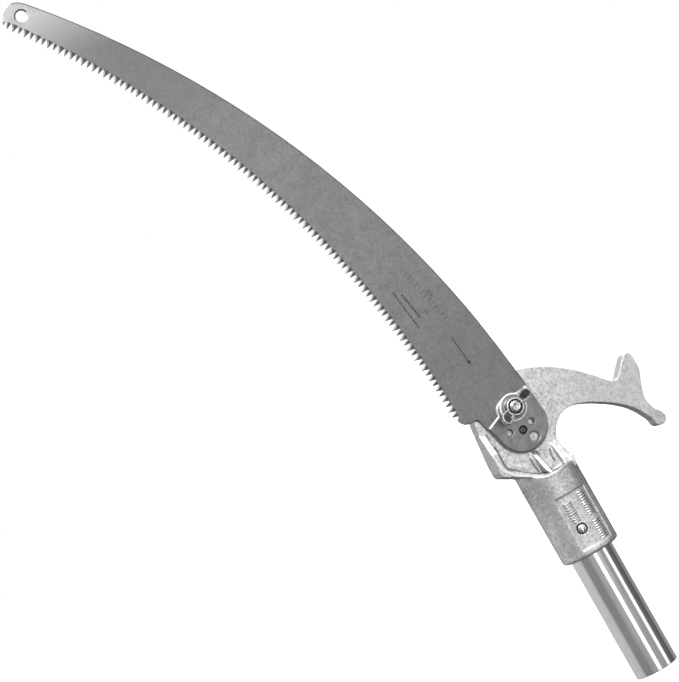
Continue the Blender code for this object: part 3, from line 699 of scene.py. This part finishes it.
class BladeMesh:
    """The blade's skin, built on the outline of its solid: rolled rims, set and ground teeth.

    A chain runs across the edge at each point of an outline: flat front, edge's front, edge's back
    and flat back. Each is a dictionary from the point's number to its vertex.
    """

    def __init__(self):
        low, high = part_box("saw_blade")
        self.y_front, self.y_back = low.y + SET, high.y - SET
        self.outer, *self.holes = front_loops("saw_blade")
        self.tips = {i for i in range(len(self.outer)) if turn_at(self.outer, i) > TIP_TURN_DEG}
        self.chains = ({}, {}, {}, {})
        self.front_rings, self.back_rings = [[]], [[]]
        self.bm = bmesh.new()

    def vertex(self, x, y, z):
        return self.bm.verts.new((x, y, z))

    def face(self, corners, kind):
        self.bm.faces.new(corners).material_index = kind

    def rim(self, chains, i, p, into):
        """The points across the edge at one point of an outline, rolled over by into."""
        q = p + into
        chains[0][i], chains[3][i] = (self.vertex(q.x, y, q.z) for y in (self.y_front, self.y_back))
        if into.length:
            chains[1][i] = self.vertex(p.x, self.y_front + RIM_DEPTH, p.z)
            chains[2][i] = self.vertex(p.x, self.y_back - RIM_DEPTH, p.z)
        else:
            chains[1][i], chains[2][i] = chains[0][i], chains[3][i]

    def strip(self, chains, i, j, kind):
        """Faces from one flat face round the edge to the other, between points i and j."""
        for one, other in zip(chains, chains[1:]):
            corners = [one[i], one[j], other[j], other[i]]
            corners = [v for n, v in enumerate(corners) if v != corners[n - 1]]
            if len(corners) > 2:
                self.face(corners, kind)

    def blank_rims(self):
        """Rims at every point of the outline but the teeth's, and no roll at the teeth's feet."""
        count = len(self.outer)
        for i, p in enumerate(self.outer):
            if i in self.tips:
                continue
            along = (self.outer[(i + 1) % count] - self.outer[i - 1]).normalized()
            toothed = any((i + step) % count in self.tips for step in (-1, 1))
            into = Vector() if toothed else Vector((-along.z, 0, along.x)) * RIM
            self.rim(self.chains, i, p, into)

    def tooth(self, i, p):
        """One tooth, set to one side and ground on the other, added to the flat faces' rings."""
        before, after = (i - 1) % len(self.outer), (i + 1) % len(self.outer)
        foot0, point, foot1 = tooth_points(self.outer[before], p, self.outer[after])
        ground_front = p.y > self.y_front       # a tooth set to the back is ground on its front
        if ground_front:
            y, tip_y = self.y_front, self.y_back + SET * TIP_OUT
            cut, plain = self.chains[0], self.chains[3]
        else:
            y, tip_y = self.y_back, self.y_front - SET * TIP_OUT
            cut, plain = self.chains[3], self.chains[0]
        f0, apex, f1 = (self.vertex(q.x, y, q.y) for q in (foot0, point, foot1))
        tip = self.vertex(p.x, tip_y, p.z)
        if ground_front:
            self.front_rings[0].extend((f0, f1))
            # painted shade in the middle of the ground face
            self.face((f0, apex, f1), CORE_SHADE)
        else:
            self.back_rings[0].extend((f0, apex, f1))
        for corners in ((cut[before], f0, plain[before]), (plain[before], f0, apex),
                        (plain[before], apex, tip), (tip, apex, plain[after]),
                        (apex, f1, plain[after]), (f1, cut[after], plain[after])):
            self.face(corners, BARE_AND_HIGHLIGHT)
        if ground_front:
            self.face((plain[before], tip, plain[after]), SATIN)
            return
        # painted highlights on the flanks either side of painted shade in the middle, on the face that
        # isn't ground
        start, end = plain[before].co, plain[after].co
        m0, m1 = (self.bm.verts.new(start.lerp(end, t)) for t in TOOTH_CORE)
        self.front_rings[0].extend((m0, m1))
        self.face((plain[before], tip, m0), BARE_AND_HIGHLIGHT)
        self.face((m1, tip, plain[after]), BARE_AND_HIGHLIGHT)
        self.face((m0, tip, m1), CORE_SHADE)

    def edge(self):
        """Teeth, the blank's edge and the flat faces' outer rings."""
        for i, p in enumerate(self.outer):
            if i in self.tips:
                self.tooth(i, p)
            else:
                self.front_rings[0].append(self.chains[0][i])
                self.back_rings[0].append(self.chains[3][i])
        for i, p in enumerate(self.outer):
            j = (i + 1) % len(self.outer)
            if i not in self.tips and j not in self.tips:
                rising = self.outer[j].z > p.z          # the back edge, as the outline runs
                # the back edge gets painted shade
                self.strip(self.chains, i, j, EDGE_SHADE if rising else SATIN)

    def hole(self, loop):
        """A hole's rims and wall: the one in the blade's end has painted shade on its upper half, the
        others a painted highlight in the ground finish.
        """
        middle = sum(loop, Vector()) / len(loop)
        in_end = middle.z > END_HOLE_ABOVE
        chains = ({}, {}, {}, {})
        for i, p in enumerate(loop):
            outward = (p - middle).normalized() * RIM
            self.rim(chains, i, p, outward * END_RIM if in_end else outward)
        for i, p in enumerate(loop):
            kind = BARE_AND_HIGHLIGHT if not in_end else EDGE_SHADE if p.z > middle.z else SATIN
            self.strip(chains, i, (i + 1) % len(loop), kind)
        self.front_rings.append(list(chains[0].values()))
        self.back_rings.append(list(chains[3].values()))


def blade():
    skin = BladeMesh()
    skin.blank_rims()
    skin.edge()
    for loop in skin.holes:
        skin.hole(loop)
    fill(skin.bm, skin.front_rings)
    fill(skin.bm, skin.back_rings)
    made = mesh_object("toothed_blade", skin.bm, 30)
    weigh_normals(made)
    finish_piece(made, "blade", "blade_steel", "saw_blade", blade_material(), ground_and_highlight_material(),
                 edge_shade_material(), etch_material("tooth_core_painted_shade", 0.055, 0.11))


def blade_marks():
    """Etched marks as plain bars and one arrow, a hair proud of the blade."""
    y_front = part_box("saw_blade")[0].y + SET
    bm = bmesh.new()

    def strip(points):
        """A thin closed plate from an outline in millimetres."""
        near = [bm.verts.new((x * MM, y_front - 0.03 * MM, z * MM)) for x, z in points]
        far = [bm.verts.new((x * MM, y_front + 0.05 * MM, z * MM)) for x, z in points]
        bm.faces.new(near)
        bm.faces.new(far[::-1])
        for i in range(len(points)):
            j = (i + 1) % len(points)
            bm.faces.new((near[j], near[i], far[i], far[j]))

    def bar(start, end, width):
        a, b = Vector(start), Vector(end)
        side = Vector((-(b - a).y, (b - a).x)).normalized() * width / 2
        strip([a + side, b + side, b - side, a - side])

    def dashes(start, end, lengths, gap, width):
        a, along = Vector(start), (Vector(end) - Vector(start)).normalized()
        at, n = 0.0, 0
        while at < (Vector(end) - a).length:
            length = lengths[n % len(lengths)]
            bar(a + along * at, a + along * (at + length), width)
            at, n = at + length + gap, n + 1

    dashes((-34.0, 315.0), (-30.0, 284.5), (4.6, 1.8, 3.1), 0.7, 1.1)
    dashes((-29.2, 311.0), (-25.7, 291.0), (1.5, 1.1, 2.2), 0.7, 1.6)
    bar((-13.1, 268.4), (-11.2, 247.5), 0.9)
    strip([(-12.4, 248.6), (-11.0, 244.6), (-10.0, 248.8)])
    made = mesh_object("blade_marks", bm)
    finish_piece(made, "blade", "blade_steel", None, etch_material("etched_mark", 0.07, 0.14))
    # a column of short cross bars and a few blocks where words would be
    bm = bmesh.new()
    dashes((-24.2, 262.0), (-23.0, 251.0), (1.2, 2.0), 1.7, 1.0)
    dashes((-14.6, 258.6), (-14.0, 254.0), (1.3,), 0.6, 0.9)
    for i in range(13):
        z = 322.0 - i * 3.3
        x = -19.2 + i * 0.78
        bar((x - 1.9, z - 0.3), (x + 1.9, z + 0.3), 1.5 if i % 2 else 0.9)
    bar((-11.2, 305.0), (-10.2, 299.5), 2.2)
    bar((-20.2, 293.6), (-19.6, 289.9), 2.2)
    made = mesh_object("blade_faint_marks", bm)
    finish_piece(made, "blade", "blade_steel", None, etch_material("etched_frost", 0.13, 0.26))


def plate_bmesh(node):
    """A flat plate with its solid's outline and holes, whose walls get a painted highlight but for the
    pin's.
    """
    low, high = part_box(node)
    pin_low, pin_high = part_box("locating_pin")
    pin_at = (pin_low + pin_high) / 2
    bm = bmesh.new()
    near_rings, far_rings = [], []
    for n, loop in enumerate(front_loops(node)):
        middle = sum(loop, Vector()) / len(loop)
        lit_wall = n > 0 and math.hypot(middle.x - pin_at.x, middle.z - pin_at.z) > 1 * MM
        near = [bm.verts.new((p.x, low.y, p.z)) for p in loop]
        far = [bm.verts.new((p.x, high.y, p.z)) for p in loop]
        near_rings.append(near)
        far_rings.append(far)
        for i in range(len(loop)):
            j = (i + 1) % len(loop)
            bm.faces.new((near[i], near[j], far[j], far[i])).material_index = BARE_AND_HIGHLIGHT if lit_wall else SATIN
    bm.normal_update()
    fill(bm, near_rings)
    fill(bm, far_rings)
    return bm


# the clamp plate's upper left edge runs from its corner to the foot of the round tab
CLAMP_CORNER = Vector((-22.9, 0, 201.7)) * MM
TAB_FOOT = Vector((-12.7, 0, 205.8)) * MM
TAB_ABOVE = 206.5 * MM
TAB_HOLE_R = 7 * MM             # everything on the tab outside this is its outer edge
CHAMFER = 0.85 * MM
HIGHLIT_LEFT_OF = 16 * MM        # beyond this only faces that look up get the painted highlight


def clamp():
    """Clamp plate with a chamfer along its upper left edge and round its tab, carrying a painted highlight.
    """
    bm = plate_bmesh("clamp_plate")
    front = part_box("clamp_plate")[0].y
    edge = (TAB_FOOT - CLAMP_CORNER).normalized()
    down_right = Vector((edge.z, 0, -edge.x))
    moved = set()
    for v in bm.verts:
        x, z = v.co.x, v.co.z
        on_edge = min(math.hypot(x - c.x, z - c.z) for c in (CLAMP_CORNER, TAB_FOOT)) < 0.9 * MM
        on_tab = z > TAB_ABOVE and math.hypot(x - BOLT_AXIS.x, z - BOLT_AXIS.z) > TAB_HOLE_R
        if on_edge or on_tab:
            moved.add(v)
            if abs(v.co.y - front) < 1e-6:
                bolt_way = Vector((BOLT_AXIS.x - x, 0, BOLT_AXIS.z - z)).normalized()
                v.co += (down_right if on_edge else bolt_way) * CHAMFER
    # painted highlight on the chamfer's sides on the left, and on those that look up
    for f in bm.faces:
        if abs(f.normal.y) < 0.9 and all(v in moved for v in f.verts) and f.material_index == SATIN:
            if f.calc_center_median().x < HIGHLIT_LEFT_OF or f.normal.z > 0.5:
                f.material_index = BARE_AND_HIGHLIGHT
    made = mesh_object("clamp_over_tang", bm)
    round_edges(made, 0.42 * MM, 3, 35)
    finish_piece(made, "clamp", "clamp_steel", "clamp_plate", clamp_material(), edge_highlight_material())


# ------------------------ fastening

# 5/16 inch carriage bolt with 18 threads to the inch
BOLT_R, PITCH = 3.97 * MM, 25.4 / 18 * MM
THREAD_DEPTH, THREAD_FROM = 0.8 * MM, 9.0 * MM      # from under the head
HEAD_R, HEAD_HEIGHT = 8.7 * MM, 4.4 * MM
NECK_SIDE, NECK_LENGTH, NECK_AT = 7.9 * MM, 5.0 * MM, 2.0 * MM
END_CHAMFER, CHAMFER_SLOPE = 1.15 * MM, 1.1
RINGS_PER_TURN, SHANK_FROM = 9, 1.5 * MM
# radius and depth of the rings of the centre dimple in the bolt's end
DIMPLE = [(2.1 * MM, 0.0), (1.7 * MM, 0.25 * MM), (0.9 * MM, 0.55 * MM), (0.0, 0.65 * MM)]


def bolt():
    """Carriage bolt: domed head, square neck and a threaded shank."""
    low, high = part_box("blade_bolt")
    steps = 72
    head_at = high.y - HEAD_HEIGHT
    length = head_at - low.y
    head = rounded([(0, -HEAD_HEIGHT), (3.2 * MM, -4.2 * MM), (6.2 * MM, -3.2 * MM), (HEAD_R, -0.5 * MM),
                    (HEAD_R, 0), (BOLT_R, 0), (BOLT_R, THREAD_FROM * 0.5)], 0.7 * MM, 4)
    bm = bmesh.new()
    rings = [circle(bm, r, z, steps) for r, z in head[:-1]]
    count = int(length / (PITCH / RINGS_PER_TURN))
    for k in range(count + 1):
        z = SHANK_FROM + (length - SHANK_FROM) * k / count
        grow = min(1, max(0, (z - THREAD_FROM) / PITCH))
        chamfered = BOLT_R - END_CHAMFER + (length - z) * CHAMFER_SLOPE
        ring = []
        for i in range(steps):
            turn = i / steps
            wave = abs(2 * ((z / PITCH - turn) % 1) - 1)
            flattened = max(0, min(1, wave * 1.25 - 0.12))      # crests and roots of the thread
            r = min(BOLT_R - THREAD_DEPTH * grow * flattened, chamfered)
            ring.append(bm.verts.new((r * math.cos(math.tau * turn), r * math.sin(math.tau * turn), z)))
        rings.append(ring)
    rings += [circle(bm, r, length - depth, steps) for r, depth in DIMPLE]
    join_rings(bm, list(zip(rings, rings[1:])), steps)
    made = mesh_object("carriage_bolt", to_front(bm, (BOLT_AXIS.x, head_at, BOLT_AXIS.z)), 35)
    neck = bmesh.new()
    cube = bmesh.ops.create_cube(neck, size=1)
    bmesh.ops.scale(neck, verts=cube["verts"], vec=(NECK_SIDE, NECK_LENGTH, NECK_SIDE))
    bmesh.ops.bevel(neck, geom=neck.edges[:], offset=0.4 * MM, segments=2, affect="EDGES")
    bmesh.ops.translate(neck, verts=neck.verts, vec=(BOLT_AXIS.x, head_at - NECK_AT, BOLT_AXIS.z))
    boolean(made, mesh_object("square_neck", neck), "UNION")
    made.data.set_sharp_from_angle(angle=math.radians(35))
    # painted shade in the bolt's hollows within 1.6 mm
    zinc = plated_material("bolt_zinc_plate", 0.60, 0.85, 0.22, 3.0, 1.6)
    finish_piece(made, "head", "bolt_zinc", "blade_bolt", zinc)


def pin():
    low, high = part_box("locating_pin")
    radius, height = (high.x - low.x) / 2, high.y - low.y
    corners = [(0, height), (radius - 0.5 * MM, height), (radius, height - 0.5 * MM), (radius, 0), (0, 0)]
    at = ((low.x + high.x) / 2, high.y, (low.z + high.z) / 2)
    made = mesh_object("tang_pin", to_front(lathe(rounded(corners, 0.25 * MM), 64), at), 50)
    finish_piece(made, "head", "pin_steel", "locating_pin", pin_material())


WASHER_BORE_R = 4.4 * MM


def washer():
    low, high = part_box("flat_washer")
    outer = (high.x - low.x) / 2
    inner, thick = WASHER_BORE_R, high.y - low.y
    corners = [(inner, thick / 2), (inner, thick), (outer, thick), (outer, 0), (inner, 0),
               (inner, thick / 2)]
    bm = lathe(rounded(corners, 0.55 * MM, 4)[:-1], 128, closed=True)
    made = mesh_object("zinc_washer", to_front(bm, (BOLT_AXIS.x, high.y, BOLT_AXIS.z)), 50)
    # a painted highlight on the ring at the washer's outer edge
    rim = ("radius", (outer - 1.15 * MM) / MM, (outer - 0.95 * MM) / MM)
    dull = plated_material("washer_dulled_zinc", 0.20, 0.34, 0.30, 4.0, highlight_spans=[rim])
    finish_piece(made, "washer", "washer_zinc", "flat_washer", dull)


# the wings as the nut's own solid has them: direction, rise, root radius and root height
WING_DEG, WING_TILT_DEG, WING_ROOT = 24.0, 32.0, (3.0, 1.6)
# a dish's middle along its wing, its half length and half width, and its floor's reach, in millimetres
DISH_AT, DISH_LONG, DISH_WIDE, DISH_FLOOR = 8.9, 4.5, 2.3, 0.55


def in_dish(place, base_y):
    """Whether a point on the nut lies on the floor of one of its dished wings."""
    tilt = math.radians(WING_TILT_DEG)
    for turn in (math.radians(WING_DEG), math.radians(WING_DEG) + math.pi):
        outward, axial = Vector((math.cos(turn), 0, math.sin(turn))), Vector((0, -1, 0))
        along = outward * math.cos(tilt) + axial * math.sin(tilt)
        face = axial * math.cos(tilt) - outward * math.sin(tilt)
        root = outward * WING_ROOT[0] + axial * WING_ROOT[1]
        local = (place - Vector((BOLT_AXIS.x, base_y, BOLT_AXIS.z))) / MM - root
        u, v, w = local.dot(along), local.dot(face.cross(along)), local.dot(face)
        if abs(w) < DISH_FLOOR and ((u - DISH_AT) / DISH_LONG) ** 2 + (v / DISH_WIDE) ** 2 < 1:
            return True
    return False


def nut():
    made = mesh_object("cast_wing_nut", cad_bmesh("wing_nut"))
    base_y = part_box("wing_nut")[1].y
    recast(made, 0.18 * MM, 7)
    made.data.shade_smooth()
    # painted shade in the nut's hollows, and painted highlights on its edges and the ring at its base
    zinc = plated_material("wing_nut_zinc_plate", 0.30, 0.48, 0.24, 2.6, 3.0,
                           [("edge", 0.502, 0.53), ("depth", base_y / MM - 1.35, base_y / MM - 0.95)])
    # painted shade on the floors of the dished wings
    dish_shade = plated_material("wing_nut_dish_painted_shade", 0.13, 0.24, 0.34, 1.6)
    finish_piece(made, "nut", "wing_nut_zinc", "wing_nut", zinc, dish_shade)
    for f in made.data.polygons:
        if in_dish(f.center, base_y):
            f.material_index = 1


# ------------------------ tube and button

def along_press(bm, z):
    """Turns a bmesh built along +Z to point out of the tube along the button's line."""
    turn = (-PRESS).to_track_quat("Z", "Y").to_matrix().to_4x4()
    place = Matrix.Translation((0, 0, z)) @ turn
    bmesh.ops.transform(bm, matrix=place, verts=bm.verts)
    return bm


PORT_R = 3.7 * MM           # hole that the button stands in
# the button's radii and heights, and how far its top and its flange stand from the tube's axis
DOME_R, DOME_HEIGHT, DOME_OUT = 3.1 * MM, 1.5 * MM, 22.0 * MM
FLANGE_R, FLANGE_THICK, FLANGE_OUT = 4.5 * MM, 1.2 * MM, 12.82 * MM


def tube():
    bore = TUBE_R - TUBE_WALL
    top, bottom = tube_high.z, tube_low.z
    middle = (top + bottom) / 2
    corners = [(TUBE_R, middle), (TUBE_R, top), (bore, top), (bore, bottom), (TUBE_R, bottom),
               (TUBE_R, middle)]
    made = mesh_object("polished_tube", lathe(rounded(corners, 0.35 * MM, 4)[:-1], 192, closed=True), 50)
    drill = lathe([(0, 5 * MM), (PORT_R, 5 * MM), (PORT_R, 25 * MM), (0, 25 * MM)], 64)
    boolean(made, mesh_object("port", along_press(drill, BUTTON_Z)))
    made.data.set_sharp_from_angle(angle=math.radians(50))
    finish_piece(made, "head", "tube_aluminium", "pole_tube", tube_material())


def button():
    """Domed button with a flange that bears on the inside of the tube."""
    dome = [(DOME_R * math.sin(math.radians(a)), DOME_OUT - DOME_HEIGHT * (1 - math.cos(math.radians(a))))
            for a in range(0, 91, 9)]
    foot = rounded([dome[-1], (DOME_R, FLANGE_OUT), (FLANGE_R, FLANGE_OUT),
                    (FLANGE_R, FLANGE_OUT - FLANGE_THICK), (0, FLANGE_OUT - FLANGE_THICK)], 0.3 * MM)
    bm = along_press(lathe(dome + foot[1:], 96), BUTTON_Z)
    made = mesh_object("snap_dome", bm, 50)
    finish_piece(made, "button", "button_chrome", "snap_button", chrome_material())


def spring():
    made = mesh_object("v_spring", cad_bmesh("snap_spring"))
    round_edges(made, 0.12 * MM, 2, 50)
    steel = plated_material("spring_steel_strip", 0.38, 0.55, 0.26, 3.0)
    finish_piece(made, "head", "spring_steel", "snap_spring", steel)


# ------------------------ studio

VIEW_DEG = -14.0                        # from straight on, towards the blade's toothed side
FOCUS = Vector((-81.43, 0, 304.39)) * MM
DISTANCE = 1.75
VIEW_WIDE = 0.4658                      # metres across the picture's longer side at the focus
ACROSS = (0.869, -0.494)                # the picture's sideways direction, from level and upright


def camera():
    turn = math.radians(VIEW_DEG)
    ahead = Vector((-math.sin(turn), math.cos(turn), 0))
    right, up = Vector((math.cos(turn), math.sin(turn), 0)), Vector((0, 0, 1))
    across = (ACROSS[0] * right + ACROSS[1] * up).normalized()
    upward = across.cross(ahead)
    place = Matrix((across, upward, -ahead)).transposed().to_4x4()
    place.translation = FOCUS - DISTANCE * ahead
    data = bpy.data.cameras.new("camera")
    made = bpy.data.objects.new("camera", data)
    scene.collection.objects.link(made)
    made.matrix_world = place
    data.sensor_width = 36
    data.lens = DISTANCE / VIEW_WIDE * data.sensor_width
    data.clip_start = 0.01
    scene.camera = made


# brightness of the studio round the object: degrees from -Y towards +X, and level
BANDS = [(-180, 0.60), (-96, 0.58), (-83, 0.26), (-48, 0.26), (-38, 0.40), (-14, 0.46), (-10, 2.2),
         (1.5, 2.2), (6.5, 0.42), (40, 0.34), (48, 1.6), (57, 1.6), (62, 0.17), (84, 0.12), (98, 0.10),
         (105, 0.30), (130, 0.30), (155, 0.50), (180, 0.60)]
# share of the bands and light of the sky, by height of the direction from -1 to 1
BAND_SHARE = [(-1, 0.15), (-0.6, 0.35), (-0.25, 1), (0.3, 1), (0.65, 0.3), (1, 0)]
SKY = [(-1, 0.05), (-0.2, 0.0), (0.25, 0.02), (0.6, 0.8), (1, 1.5)]


# a soft lamp just above the camera's mirror direction, for flat faces
FILL_DEG, FILL_RISE_DEG = 15.0, 7.0
FILL_WAY = (math.sin(math.radians(FILL_DEG)) * math.cos(math.radians(FILL_RISE_DEG)),
            -math.cos(math.radians(FILL_DEG)) * math.cos(math.radians(FILL_RISE_DEG)),
            math.sin(math.radians(FILL_RISE_DEG)))
FILL_EDGE, FILL_LEVEL = math.cos(math.radians(17)), 0.9


def ramp(tree, value, stops, low, high):
    """A colour ramp of grey levels over low..high."""
    made = tree.nodes.new("ShaderNodeValToRGB")
    tree.links.new(value, made.inputs["Fac"])
    elements = made.color_ramp.elements
    while len(elements) > 1:
        elements.remove(elements[-1])
    for i, (at, level) in enumerate(stops):
        place = (at - low) / (high - low)
        stop = elements[0] if i == 0 else elements.new(place)
        stop.position = place
        stop.color = (level, level, level, 1)
    return made.outputs["Color"]


def studio_light():
    """Light from all round in bands, which the camera sees as plain white, and two soft lamps."""
    world = bpy.data.worlds.new("studio")
    scene.world = world
    world.use_nodes = True
    tree = world.node_tree
    tree.nodes.clear()
    add = partial(add_node, tree)
    way = add("SeparateXYZ", {"Vector": add("TexCoord").outputs["Generated"]})
    back = add("Math", {0: way.outputs["Y"], 1: -1.0}, operation="MULTIPLY").outputs[0]
    turn = add("Math", {0: way.outputs["X"], 1: back}, operation="ARCTAN2").outputs[0]
    turn = add("MapRange", {"Value": turn, "From Min": -math.pi, "From Max": math.pi}).outputs["Result"]
    rise = add("MapRange", {"Value": way.outputs["Z"], "From Min": -1.0, "From Max": 1.0}).outputs["Result"]
    bands = ramp(tree, turn, BANDS, -180, 180)
    share = ramp(tree, rise, BAND_SHARE, -1, 1)
    sky = ramp(tree, rise, SKY, -1, 1)
    level = add("VectorMath", {0: bands, 1: share}, operation="MULTIPLY").outputs[0]
    level = add("VectorMath", {0: level, 1: sky}, operation="ADD").outputs[0]
    aim = add("VectorMath", {0: add("TexCoord").outputs["Generated"], 1: FILL_WAY},
              operation="DOT_PRODUCT").outputs["Value"]
    fill = add("MapRange", {"Value": aim, "From Min": FILL_EDGE, "From Max": 1.0, "To Max": FILL_LEVEL},
               interpolation_type="SMOOTHSTEP").outputs["Result"]
    level = add("VectorMath", {0: level, 1: fill}, operation="ADD").outputs[0]
    lit = add("Background", {"Color": level, "Strength": 1.0}).outputs[0]
    plain = add("Background", {"Color": (1, 1, 1, 1), "Strength": 1.0}).outputs[0]
    seen = add("LightPath").outputs["Is Camera Ray"]
    add("OutputWorld", {"Surface": add("MixShader", {0: seen, 1: lit, 2: plain}).outputs[0]})

    def area(name, at, aim, size, power):
        data = bpy.data.lights.new(name, "AREA")
        data.shape = "RECTANGLE"
        data.size, data.size_y = size
        data.energy = power
        made = bpy.data.objects.new(name, data)
        scene.collection.objects.link(made)
        made.location = at
        made.rotation_euler = (Vector(aim) - Vector(at)).to_track_quat("-Z", "Y").to_euler()

    area("key_above", (-0.7, -0.9, 1.9), (-0.05, 0, 0.3), (0.9, 0.7), 26)
    area("rim_behind", (0.5, 1.1, 1.3), (0, 0, 0.3), (0.8, 0.5), 8)


def floor():
    m = Shader("pale_floor", (0.92, 0.92, 0.92), 0.0, 0.9)
    cloud = m.grain(300.0, detail=2)
    m.use("Base Color", m.mix(m.span(cloud, 0.3, 0.7), (0.90, 0.90, 0.90), (0.94, 0.94, 0.94)))
    m.bsdf.inputs["Specular IOR Level"].default_value = 0.1
    m.bsdf.inputs["Emission Color"].default_value = (1, 1, 1, 1)
    m.bsdf.inputs["Emission Strength"].default_value = 0.45
    bm = bmesh.new()
    bmesh.ops.create_grid(bm, x_segments=24, y_segments=24, size=12.0)
    bmesh.ops.translate(bm, verts=bm.verts, vec=(0, 0, cad_box[0].z - 0.5 * MM))
    made = mesh_object("floor", bm)
    made.data.materials.append(m.material)
    made.visible_glossy = False
    made.visible_diffuse = False


# ------------------------ everything

camera()
cast_head()
panel_bars()
blade()
blade_marks()
clamp()
bolt()
pin()
washer()
nut()
tube()
button()
spring()
floor()
studio_light()
scene.view_settings.view_transform = "Standard"
